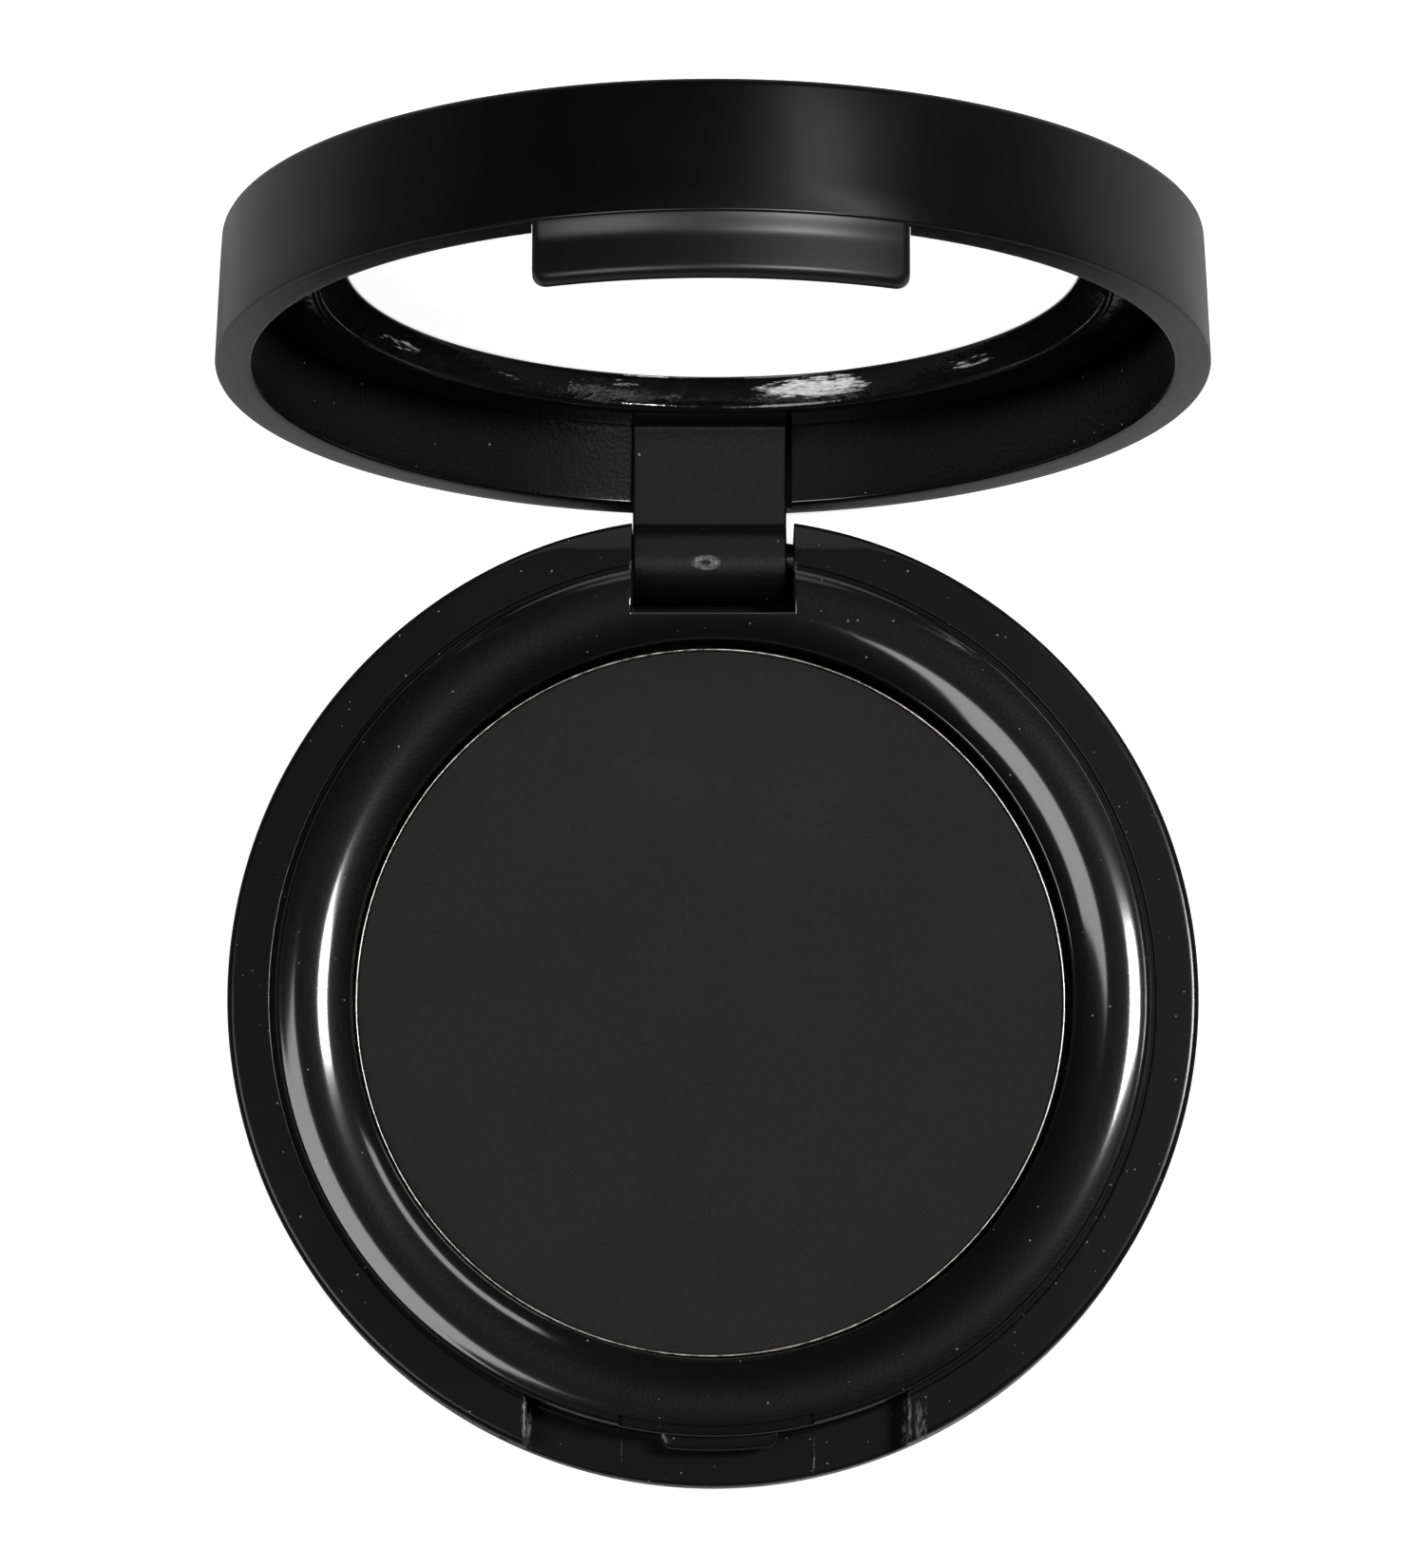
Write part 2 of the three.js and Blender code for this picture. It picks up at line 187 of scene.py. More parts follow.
def spokes(backCuts, frontCuts, frontShift=0):
    def bandLines(cuts, shift=0):
        special = set()
        for cut in cuts:
            for offset in band["beside"]:
                special.update((shift + cut + offset, shift - cut - offset))
        count = round(2 * band["half"] / band["step"])
        plain = [-band["half"] + band["step"] * i for i in range(count + 1)]
        kept = [x for x in plain if all(abs(x - s) > band["clear"] for s in special)]
        return sorted(special.union(kept))
    sides = [(i + 1) / (band["sides"] + 1) for i in range(band["sides"])]
    lines = [("right", t) for t in sides]
    lines += [("back", x) for x in reversed(bandLines(backCuts))]
    lines += [("left", t) for t in sides]
    lines += [("front", x) for x in bandLines(frontCuts, frontShift)]
    return lines


def onSpoke(line, radius):
    kind, spot = line
    reach = max(radius, band["radius"])
    if kind in ("back", "front"):
        x, y = spot, math.sqrt(reach**2 - spot**2)
        if kind == "front":
            y = -y
    else:
        span = math.pi / 2 - math.asin(band["half"] / reach)
        angle = (2 * spot - 1) * span + (math.pi if kind == "left" else 0)
        x, y = reach * math.cos(angle), reach * math.sin(angle)
    return x * radius / reach, y * radius / reach


def isBack(line, half):
    return line[0] == "back" and abs(line[1]) <= half + band["tolerance"]


def isFront(line, half, shift=0):
    return line[0] == "front" and abs(line[1] - shift) <= half + band["tolerance"]


def newMaterial(name):
    material = bpy.data.materials.new(name)
    material.use_nodes = True
    tree = material.node_tree
    return material, tree, tree.nodes["Principled BSDF"]


def node(tree, kind, inputs=None, **settings):
    made = tree.nodes.new(kind)
    for key, value in settings.items():
        setattr(made, key, value)
    for key, value in (inputs or {}).items():
        if isinstance(value, bpy.types.NodeSocket):
            tree.links.new(value, made.inputs[key])
        else:
            made.inputs[key].default_value = value
    return made


def mathNode(tree, operation, a, b=0.0):
    return node(tree, "ShaderNodeMath", {0: a, 1: b}, operation=operation).outputs[0]


def place(tree):
    return node(tree, "ShaderNodeTexCoord").outputs["Object"]


def noise(tree, where, scale, detail=2.0, roughness=0.5):
    made = node(tree, "ShaderNodeTexNoise", {"Vector": where, "Scale": scale, "Detail": detail,
                                             "Roughness": roughness})
    return made.outputs["Fac"]


def ramp(tree, value, stops):
    made = node(tree, "ShaderNodeValToRGB", {"Fac": value})
    elements = made.color_ramp.elements
    elements[0].position, elements[0].color = stops[0][0], stops[0][1]
    elements[1].position, elements[1].color = stops[-1][0], stops[-1][1]
    for position, color in stops[1:-1]:
        elements.new(position).color = color
    return made.outputs["Color"]


def grey(value, tint=(1, 1, 1)):
    return (value * tint[0], value * tint[1], value * tint[2], 1)


def remap(tree, value, low, high, toLow, toHigh):
    made = node(tree, "ShaderNodeMapRange", {"Value": value, "From Min": low, "From Max": high,
                                             "To Min": toLow, "To Max": toHigh})
    return made.outputs["Result"]


# distance from the compact's own axis, in millimetres
def radiusFromAxis(tree):
    parts = node(tree, "ShaderNodeSeparateXYZ", {"Vector": place(tree)})
    flat = node(tree, "ShaderNodeCombineXYZ", {"X": parts.outputs["X"], "Y": parts.outputs["Y"]})
    length = node(tree, "ShaderNodeVectorMath", {0: flat.outputs[0]}, operation="LENGTH")
    return mathNode(tree, "MULTIPLY", length.outputs["Value"], 1000.0)


speck = {"smallest": 0.04, "largest": 0.13}  # shares of a cell


# small pale specks of dust lying on a surface, 0 to 1
def dust(tree, where, scale, amount):
    cells = node(tree, "ShaderNodeTexVoronoi", {"Vector": where, "Scale": scale}, feature="F1")
    chosen = node(tree, "ShaderNodeSeparateColor", {"Color": cells.outputs["Color"]})
    size = remap(tree, chosen.outputs["Green"], 0.0, 1.0, speck["smallest"], speck["largest"])
    near = mathNode(tree, "LESS_THAN", cells.outputs["Distance"], size)
    picked = mathNode(tree, "LESS_THAN", chosen.outputs["Red"], amount)
    return mathNode(tree, "MULTIPLY", near, picked)


# 1 inside a band round a middle value, falling to 0 at its edges
def bandMask(tree, value, middle, half):
    off = mathNode(tree, "ABSOLUTE", mathNode(tree, "SUBTRACT", value, middle))
    return remap(tree, off, half * 0.55, half, 1.0, 0.0)


# pale rubbed streaks that run front to back, 0 to 1
def rubMarks(tree, where, marks):
    parts = node(tree, "ShaderNodeSeparateXYZ", {"Vector": where})
    stretched = node(tree, "ShaderNodeMapping", {"Vector": where, "Scale": (1, 0.25, 0.25)})
    broken = remap(tree, noise(tree, stretched.outputs[0], 5200.0, 3.0, 0.7), 0.46, 0.6, 0.0, 1.0)
    total = None
    for mark in marks:
        middle, half = (mark["from"] + mark["to"]) / 2, (mark["to"] - mark["from"]) / 2
        across = bandMask(tree, parts.outputs["X"], mark["x"] * mm, mark["half"] * mm)
        along = bandMask(tree, parts.outputs["Y"], middle * mm, half * mm)
        one = mathNode(tree, "MULTIPLY", mathNode(tree, "MULTIPLY", across, along), mark["cover"])
        total = one if total is None else mathNode(tree, "MAXIMUM", total, one)
    return mathNode(tree, "MULTIPLY", total, broken)


# the ring-shaped scar where the moulding was cut from its runner, 0 to 1
def gateScar(tree, where, scar):
    parts = node(tree, "ShaderNodeSeparateXYZ", {"Vector": where})
    across = mathNode(tree, "DIVIDE", mathNode(tree, "SUBTRACT", parts.outputs["X"], scar["x"] * mm),
                      scar["width"] * mm)
    along = mathNode(tree, "DIVIDE", mathNode(tree, "SUBTRACT", parts.outputs["Z"], scar["z"] * mm),
                     scar["height"] * mm)
    away = mathNode(tree, "SQRT", mathNode(tree, "ADD", mathNode(tree, "MULTIPLY", across, across),
                                           mathNode(tree, "MULTIPLY", along, along)))
    rough = remap(tree, noise(tree, where, 4200.0, 4.0, 0.7), 0.42, 0.66, 0.15, 1.0)
    return mathNode(tree, "MULTIPLY", bandMask(tree, away, 0.72, 0.42), rough)


# black moulded plastic: a slow change of tone and sheen, a fine grain and specks of dust
def mouldedBlack(name, look):
    material, tree, shader = newMaterial(name)
    where = place(tree)
    grain = noise(tree, where, look.get("grainScale", 5200.0), 2.0)
    cloud = noise(tree, where, 70.0, 3.0)
    tone, roughness = look["tone"], look["roughness"]
    shade = remap(tree, cloud, 0.3, 0.7, tone * 0.85, tone * 1.18)
    base = node(tree, "ShaderNodeCombineColor", {"Red": shade, "Green": shade, "Blue": shade})
    specks = dust(tree, where, look.get("dustScale", 900.0), look.get("dust", 0.0))
    if "rubs" in look:
        specks = mathNode(tree, "MAXIMUM", specks, rubMarks(tree, where, look["rubs"]))
    if "scar" in look:
        specks = mathNode(tree, "MAXIMUM", specks, gateScar(tree, where, look["scar"]))
    colour = node(tree, "ShaderNodeMix", {"Factor": specks, 7: grey(0.2)}, data_type="RGBA")
    tree.links.new(base.outputs[0], colour.inputs[6])
    tree.links.new(colour.outputs[2], shader.inputs["Base Color"])
    rough = remap(tree, cloud, 0.3, 0.7, roughness - 0.03, roughness + 0.04)
    tree.links.new(rough, shader.inputs["Roughness"])
    shader.inputs["Specular IOR Level"].default_value = look["specular"]
    shader.inputs["Coat Weight"].default_value = look.get("coat", 0.0)
    shader.inputs["Coat Roughness"].default_value = look.get("coatRoughness", 0.1)
    bump = node(tree, "ShaderNodeBump", {"Height": grain, "Distance": look["grainDepth"] * mm,
                                         "Strength": 1.0})
    tree.links.new(bump.outputs["Normal"], shader.inputs["Normal"])
    return material


# the liner's gloss, with dried glue that has squeezed out in places beside the glass: a bump raises the
# glue, and the pale tones on it are painted reflections
glueAndGlints = [
    {"from": 4.0, "to": 28.0, "radius": 22.9, "width": 0.8, "cover": 1.0},
    {"from": -20.0, "to": -9.0, "radius": 22.6, "width": 0.3, "cover": 0.5},
    {"from": -40.0, "to": -26.0, "radius": 23.0, "width": 0.4, "cover": 0.3},
    {"from": 36.0, "to": 50.0, "radius": 23.0, "width": 0.5, "cover": 0.55},
    {"from": -64.0, "to": -46.0, "radius": 23.1, "width": 0.5, "cover": 0.5},
]
gloss = {"tone": 0.003, "ripple": 420.0, "roughness": (0.06, 0.24), "depth": 0.15,
         "perDegree": 0.22, "perMm": 3.2, "streak": 1.6, "shade": 3.4, "ragged": (0.74, 0.92)}


def glossMaterial():
    material, tree, shader = newMaterial("glossBlack")
    where = place(tree)
    ripple = noise(tree, where, gloss["ripple"], 4.0, 0.6)
    parts = node(tree, "ShaderNodeSeparateXYZ", {"Vector": where})
    turn = mathNode(tree, "ARCTAN2", parts.outputs["X"], parts.outputs["Y"])
    degrees = mathNode(tree, "MULTIPLY", turn, 180 / math.pi)
    radius = radiusFromAxis(tree)
    around = node(tree, "ShaderNodeCombineXYZ", {
        "X": mathNode(tree, "MULTIPLY", degrees, gloss["perDegree"]),
        "Y": mathNode(tree, "MULTIPLY", radius, gloss["perMm"]),
    })
    streak = noise(tree, around.outputs[0], gloss["streak"], 5.0, 0.6)
    shade = noise(tree, around.outputs[0], gloss["shade"], 3.0, 0.6)
    glueAndGlint = None
    for glueGlint in glueAndGlints:
        middle, half = (glueGlint["from"] + glueGlint["to"]) / 2, (glueGlint["to"] - glueGlint["from"]) / 2
        along = mathNode(tree, "DIVIDE", mathNode(tree, "SUBTRACT", degrees, middle), half)
        across = mathNode(tree, "DIVIDE", mathNode(tree, "SUBTRACT", radius, glueGlint["radius"]),
                          glueGlint["width"])
        along = mathNode(tree, "POWER", mathNode(tree, "ABSOLUTE", along), 2.0)
        across = mathNode(tree, "POWER", mathNode(tree, "ABSOLUTE", across), 2.0)
        patch = mathNode(tree, "SUBTRACT", 1.0, mathNode(tree, "ADD", along, across))
        patch = mathNode(tree, "MULTIPLY", mathNode(tree, "MAXIMUM", patch, 0.0), glueGlint["cover"])
        glueAndGlint = patch if glueAndGlint is None else mathNode(tree, "MAXIMUM", glueAndGlint, patch)
    ragged = mathNode(tree, "ADD", mathNode(tree, "MULTIPLY", glueAndGlint, 0.55), streak)
    low, high = gloss["ragged"]
    cover = node(tree, "ShaderNodeMapRange", {"Value": ragged, "From Min": low, "From Max": high},
                 interpolation_type="SMOOTHSTEP").outputs["Result"]
    # painted reflection: these pale streaks on the glue patches stand in for light reflected there
    paintedGlint = ramp(tree, shade, [(0.3, grey(0.2)), (0.48, grey(0.75)), (0.6, grey(0.95))])
    colour = node(tree, "ShaderNodeMix", {"Factor": cover, 6: grey(gloss["tone"]), 7: paintedGlint},
                  data_type="RGBA")
    tree.links.new(colour.outputs[2], shader.inputs["Base Color"])
    rough = remap(tree, ripple, 0.35, 0.7, *gloss["roughness"])
    tree.links.new(rough, shader.inputs["Roughness"])
    height = mathNode(tree, "ADD", mathNode(tree, "MULTIPLY", ripple, 0.6),
                      mathNode(tree, "MULTIPLY", cover, 0.5))
    bump = node(tree, "ShaderNodeBump", {"Height": height, "Distance": gloss["depth"] * mm,
                                         "Strength": 0.8})
    tree.links.new(bump.outputs["Normal"], shader.inputs["Normal"])
    return material


powderLook = {"grain": 6500.0, "cloud": 120.0, "tones": (0.0195, 0.0265), "roughness": 0.95,
              "specular": 0.05, "depth": 0.01}


def powderMaterial():
    material, tree, shader = newMaterial("pressedPowder")
    where = place(tree)
    grain = noise(tree, where, powderLook["grain"], 3.0, 0.6)
    cloud = noise(tree, where, powderLook["cloud"], 3.0)
    mixed = mathNode(tree, "ADD", mathNode(tree, "MULTIPLY", grain, 0.35),
                     mathNode(tree, "MULTIPLY", cloud, 0.2))
    tone = remap(tree, mixed, 0.15, 0.42, *powderLook["tones"])
    base = node(tree, "ShaderNodeCombineColor", {"Red": tone, "Green": tone, "Blue": tone})
    tree.links.new(base.outputs[0], shader.inputs["Base Color"])
    shader.inputs["Roughness"].default_value = powderLook["roughness"]
    shader.inputs["Specular IOR Level"].default_value = powderLook["specular"]
    bump = node(tree, "ShaderNodeBump", {"Height": grain, "Distance": powderLook["depth"] * mm,
                                         "Strength": 0.4})
    tree.links.new(bump.outputs["Normal"], shader.inputs["Normal"])
    return material


# the plainer finishes: a tone that wanders between two values
plainLooks = {
    "pressedTin": {"scale": 1500.0, "detail": 3.0, "tones": (0.25, 0.6), "tint": (1, 0.98, 0.95),
                   "metallic": 1.0, "roughness": 0.22, "scuff": 0.2},
    # the film glows though it is no lamp: painted light that keeps it pure white
    "whiteFilmPaintedGlow": {"scale": 60.0, "detail": 2.0, "tones": (0.93, 0.97), "roughness": 0.35,
                  "glow": 0.86},
    "pinSteel": {"scale": 900.0, "detail": 3.0, "tones": (0.05, 0.09), "metallic": 1.0,
                 "roughness": 0.28},
    "silveredGlass": {"scale": 50.0, "detail": 2.0, "tones": (0.86, 0.9), "metallic": 1.0,
                      "roughness": 0.03},
    "adhesive": {"scale": 300.0, "detail": 3.0, "tones": (0.5, 0.62), "tint": (1, 0.96, 0.86),
                 "roughness": 0.6},
}


def plainFinish(name, look):
    material, tree, shader = newMaterial(name)
    cloud = noise(tree, place(tree), look["scale"], look["detail"])
    low, high = (grey(tone, look.get("tint", (1, 1, 1))) for tone in look["tones"])
    colour = ramp(tree, cloud, [(0.3, low), (0.7, high)])
    tree.links.new(colour, shader.inputs["Base Color"])
    shader.inputs["Metallic"].default_value = look.get("metallic", 0.0)
    shader.inputs["Roughness"].default_value = look["roughness"]
    if "scuff" in look:
        rough = remap(tree, cloud, 0.3, 0.7, look["roughness"], look["roughness"] + look["scuff"])
        tree.links.new(rough, shader.inputs["Roughness"])
    # painted light: a glow on a part that is no lamp
    if "glow" in look:
        tree.links.new(colour, shader.inputs["Emission Color"])
        shader.inputs["Emission Strength"].default_value = look["glow"]
    return material


deckRubs = [
    {"x": -11.5, "half": 0.32, "from": -27.8, "to": -24.5, "cover": 0.9},
    {"x": 11.95, "half": 0.3, "from": -28.0, "to": -24.5, "cover": 0.8},
    {"x": 12.8, "half": 0.4, "from": -28.1, "to": -24.8, "cover": 0.6},
    {"x": 6.25, "half": 0.07, "from": -29.3, "to": -26.8, "cover": 1.0},
    {"x": -5.66, "half": 0.06, "from": -29.3, "to": -26.8, "cover": 0.3},
    {"x": -5.08, "half": 0.12, "from": 24.0, "to": 27.2, "cover": 0.8},
    {"x": 5.12, "half": 0.14, "from": 23.8, "to": 27.2, "cover": 0.9},
]
lugScar = {"x": -0.43, "z": -4.58, "width": 0.85, "height": 0.42}
blacks = {
    "blackLedge": {"tone": 0.0025, "roughness": 0.62, "specular": 0.07, "grainDepth": 0.02,
                   "grainScale": 3800.0, "dust": 0.3, "dustScale": 2000.0, "coat": 0.35,
                   "coatRoughness": 0.15, "rubs": deckRubs},
    "blackRing": {"tone": 0.0022, "roughness": 0.42, "specular": 0.07, "grainDepth": 0.018,
                  "grainScale": 4200.0, "dust": 0.14, "dustScale": 1800.0, "coat": 1.0,
                  "coatRoughness": 0.09},
    "blackShell": {"tone": 0.0025, "roughness": 0.28, "specular": 0.34, "grainDepth": 0.001},
    "blackInside": {"tone": 0.001, "roughness": 0.38, "specular": 0.12, "grainDepth": 0.03,
                    "grainScale": 3800.0, "dust": 0.1, "dustScale": 1800.0},
    "blackEdge": {"tone": 0.0025, "roughness": 0.2, "specular": 0.6, "grainDepth": 0.004},
    "blackLug": {"tone": 0.0025, "roughness": 0.42, "specular": 0.17, "grainDepth": 0.02,
                 "grainScale": 3800.0, "dust": 0.14, "dustScale": 1500.0, "scar": lugScar},
    "blackTab": {"tone": 0.004, "roughness": 0.36, "specular": 0.4, "grainDepth": 0.001},
}
black = {name: mouldedBlack(name, look) for name, look in blacks.items()}
glossBlack = glossMaterial()
pressedPowder = powderMaterial()
plain = {name: plainFinish(name, look) for name, look in plainLooks.items()}
print("finishes made")


def finishPiece(piece, material, body, nodeName):
    if material not in list(piece.data.materials):
        piece.data.materials.append(material)
    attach(piece, body)
    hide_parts(nodeName)


cup = {"wall": 1.4, "floor": 1.2, "insideFloor": 1.0, "foot": 0.8, "lip": 0.12,
       "recessHalf": 13.2, "recessTop": 3.8, "earHalf": 8.6, "notchHalf": lugHalf + 0.2,
       "notchOpen": 29.4}


def makeCup():
    lines = spokes([cup["notchHalf"], cup["earHalf"]], [cup["recessHalf"]])
    inner = baseRadius - cup["wall"]
    foot, lip = cup["foot"], cup["lip"]
    bottom = [(24.0, 0), (28.0, 0)]
    bottom += arcPoints(baseRadius - foot, foot, foot, -90, 0, 8)

    def wallTop(line):
        if isFront(line, cup["recessHalf"]):
            return cup["recessTop"]
        if isBack(line, cup["earHalf"]):
            return cup["floor"]
        return cupHigh.z

    def partUp(line, share):
        return foot + max(wallTop(line) - foot - lip, 0) * share

    def row(radius, height):
        points = []
        for line in lines:
            r = min(radius, cup["notchOpen"]) if isBack(line, cup["notchHalf"]) else radius
            x, y = onSpoke(line, r)
            points.append((x, y, height(line)))
        return points

    rows = [[(0, 0, 0)]]
    rows += [row(r, lambda line, z=z: min(z, wallTop(line))) for r, z in bottom]
    for share in (0.25, 0.5, 0.75, 1.0):
        rows.append(row(baseRadius, lambda line, share=share: partUp(line, share)))
    for r, z in arcPoints(baseRadius - lip, -lip, lip, 0, 90, 4):
        rows.append(row(r, lambda line, z=z: wallTop(line) + z))
    for r, z in arcPoints(inner + lip, -lip, lip, 90, 180, 4):
        rows.append(row(r, lambda line, z=z: wallTop(line) + z))
    rows.append(row(inner, lambda line: cup["insideFloor"]))
    rows.append([(0, 0, cup["insideFloor"])])
    return toMesh("baseCup", *weave(rows))


finishPiece(makeCup(), black["blackShell"], "base", "base_cup")
print("cup made")


deck = {"notchHalf": lugHalf + 0.2, "notchFront": hingeY - 3.45, "notchFloor": hingeZ - 3.1,
        "notchOpen": 29.1, "earHalf": lugHalf + 3.5, "earBottom": 1.5,
        "recessHalf": 11.7, "recessFloor": ledgeZ - 3.9, "recessWall": 1.2, "recessShift": 0.23,
        "wellRadius": 22.25, "wellFloor": panLow.z - 0.5, "under": panLow.z - 1.5,
        "ledgeThickness": 1.8, "ledgeEdge": 0.36, "cutEdge": 0.13, "recessEdge": 0.25,
        "recessLip": 0.2, "flatEdge": 0.1, "flatFall": 0.12, "reliefFlat": 0.35,
        "groove": 0.28, "grooveDepth": 0.16, "grooveEdge": 0.12,
        "flatHalf": 6.0, "flatRadius": 26.4, "flatLift": 0.2,
        "reliefStart": hingeY - 0.6, "reliefRadius": 3.75, "skirt": 28.3, "wellOuter": 22.4,
        "underEdge": 0.06,
        "straightFrom": (22.6, 23.5), "straightTo": (24.2, 25.6), "straightSides": (5.5, 9.5)}


def ringTop(radius):
    curve = ring["curve"]
    return ledgeZ + ring["height"] - curve + math.sqrt(curve**2 - (radius - ring["crest"]) ** 2)


def deckProfile(radius):
    well, edge, innerEdge = deck["wellRadius"], ring["edge"], ring["innerEdge"]
    if radius <= well:
        return deck["wellFloor"]
    if radius < well + innerEdge:
        return ringTop(well + innerEdge) - edgeDrop(radius - well, innerEdge)
    if radius <= ring["outer"] - edge:
        return ringTop(radius)
    if radius <= ring["outer"]:
        return ringTop(ring["outer"] - edge) - edgeDrop(ring["outer"] - radius, edge)
    grooveEnd = ring["outer"] + deck["groove"]
    if radius < grooveEnd:
        return ledgeZ - deck["grooveDepth"]
    if radius < grooveEnd + deck["grooveEdge"]:
        return ledgeZ - edgeDrop(radius - grooveEnd, deck["grooveEdge"])
    return ledgeZ - edgeDrop(baseRadius - radius, deck["ledgeEdge"])


def deckTop(x, y, radius):
    true = math.hypot(x, y)
    straight = deck["straightFrom"][0] < radius < ring["outer"] - ring["edge"]
    z = deckProfile(true if straight else radius)
    cutEdge = deck["cutEdge"]
    if y > 0:
        if y > deck["reliefStart"]:
            flat = deck["reliefFlat"]
            arcStart = hingeY + flat
            arcZ = hingeZ + math.sqrt(deck["reliefRadius"] ** 2 - max(y - hingeY, flat) ** 2)
            share = min((y - deck["reliefStart"]) / (arcStart - deck["reliefStart"]), 1)
            reliefZ = ledgeZ + (arcZ - ledgeZ) * share
            z = min(z, reliefZ - edgeDrop(baseRadius - radius, deck["ledgeEdge"]))
        inside = max(abs(x) - deck["notchHalf"], deck["notchFront"] - y)
        if inside <= skin["near"]:
            return deck["notchFloor"]
        if inside < cutEdge + band["sliver"]:
            z -= edgeDrop(max(inside - band["sliver"], 0), cutEdge)
        return z
    if radius > ring["outer"]:
        inside = abs(x - deck["recessShift"]) - deck["recessHalf"]
        if inside <= skin["near"]:
            floorZ = deck["recessFloor"] + edgeDrop(radius - ring["outer"], deck["recessEdge"])
            return floorZ - edgeDrop(baseRadius - radius, deck["recessLip"])
        if inside < cutEdge + band["sliver"]:
            z -= edgeDrop(max(inside - band["sliver"], 0), cutEdge)
        return z
    onFlat = abs(x - deck["recessShift"]) <= deck["flatHalf"] + band["tolerance"]
    if onFlat and radius >= deck["flatRadius"]:
        flatZ = ledgeZ + deck["flatLift"] - edgeDrop(ring["outer"] - radius, deck["flatEdge"])
        share = (ring["outer"] - radius) / (ring["outer"] - deck["flatRadius"])
        z = min(z, flatZ + deck["flatFall"] * share)
    return z


# the rows run straight across in front of the notch, where they would otherwise cross its edge
def deckPoint(line, radius):
    x, y = onSpoke(line, radius)
    if line[0] == "back":
        across = 1 - smoothStep(*deck["straightSides"], abs(x))
        along = smoothStep(*deck["straightFrom"], radius)
        along *= 1 - smoothStep(*deck["straightTo"], radius)
        y += (radius - y) * across * along
    return x, y


def makeDeck():
    lines = spokes([deck["notchHalf"], deck["earHalf"]],
                   [deck["flatHalf"], deck["recessHalf"], deck["recessHalf"] + deck["recessWall"]],
                   deck["recessShift"])
    well, front, outer = deck["wellRadius"], deck["notchFront"], ring["outer"]
    grooveEnd = outer + deck["groove"]
    # the rows stand close together where an edge turns, and apart between
    radii = [12.0, 21.0, well]
    radii += [well + step for step in (0.0002, 0.01, 0.03, 0.06, 0.09, 0.12, 0.17, 0.25, 0.35)]
    radii += [well + 0.5 + 0.15 * i for i in range(6)]
    radii += [front + step for step in (-0.16, -0.11, -0.07, -0.03, 0, 0.02)]
    radii += [24.0 + 0.2 * i for i in range(12)]
    radii += [deck["flatRadius"] - 0.01, deck["flatRadius"]]
    radii += [outer - step for step in (0.5, 0.35, 0.27, 0.19, 0.12, 0.07, 0.03, 0.01, 0)]
    radii += [outer + step for step in (0.0002, 0.03, 0.09, 0.15, 0.21, 0.27)]
    radii += [grooveEnd + step for step in (0.0002, 0.01, 0.025, 0.045, 0.07, 0.095, 0.12, 0.17)]
    radii += [27.7 + 0.2 * i for i in range(10)]
    radii += [baseRadius - step for step in (0.32, 0.24, 0.17, 0.11, 0.06, 0.03, 0.01, 0)]

    def bottomOf(line):
        if isFront(line, deck["recessHalf"] + deck["recessWall"], deck["recessShift"]):
            return deck["recessFloor"] - deck["recessWall"]
        if isBack(line, deck["earHalf"]):
            return deck["earBottom"]
        return ledgeZ - deck["ledgeThickness"]

    def held(line, radius):
        return min(radius, deck["notchOpen"]) if isBack(line, deck["notchHalf"]) else radius

    rows = [[(0, 0, deck["wellFloor"])]]
    for radius in radii:
        row = []
        for line in lines:
            r = held(line, radius)
            x, y = deckPoint(line, r)
            row.append((x, y, deckTop(x, y, r)))
        rows.append(row)
    rim = rows[-1]
    for share in (0.3, 0.65, 0.97):
        row = []
        for line, top in zip(lines, rim):
            row.append((top[0], top[1], top[2] + (bottomOf(line) - top[2]) * share))
        rows.append(row)

    def flatRow(radius, height):
        row = []
        for line in lines:
            x, y = onSpoke(line, held(line, radius))
            row.append((x, y, height(line)))
        return row

    def deep(line):
        return deck["earBottom"] if isBack(line, deck["earHalf"]) else deck["under"]

    rows.append(flatRow(baseRadius - deck["underEdge"], bottomOf))
    rows.append(flatRow(deck["skirt"], bottomOf))
    rows.append(flatRow(deck["skirt"], deep))
    rows.append(flatRow(deck["wellOuter"], deep))
    rows.append(flatRow(deck["wellOuter"], lambda line: deck["under"]))
    rows.append([(0, 0, deck["under"])])
    return weave(rows)


catch = {"half": 3.6, "reach": 0.85, "least": 0.02, "root": 0.3, "drop": 0.8, "height": 0.85,
         "corner": 0.6, "shift": 0.4, "steps": 44}


# the bump on the ring wall that the tab snaps under
def catchSkin():
    top, low = ledgeZ - catch["drop"], ledgeZ - catch["drop"] - catch["height"]
    root = ring["outer"] - catch["root"]
    rows = []
    for i in range(catch["steps"] + 1):
        x = -catch["half"] + 2 * catch["half"] * i / catch["steps"]
        reach = catch["reach"] - edgeDrop(catch["half"] - abs(x), catch["corner"])
        tip = ring["outer"] + max(reach, catch["least"])
        outline = [(root, top), (tip - 0.22, top), (tip - 0.1, top - 0.04), (tip - 0.02, top - 0.13),
                   (tip, top - 0.3), (tip - 0.05, top - 0.5), (tip - 0.3, low), (root, low)]
        across = x + catch["shift"]
        rows.append([(across, -math.sqrt(r * r - across * across), z) for r, z in outline])
    points, faces = weave(rows)
    closeEnds(faces, len(points), len(rows[0]))
    return points, faces


def joinSkins(name, *skins):
    points, faces = [], []
    for skinPoints, skinFaces in skins:
        start = len(points)
        points += skinPoints
        faces += [tuple(v + start for v in face) for face in skinFaces]
    return toMesh(name, points, faces)


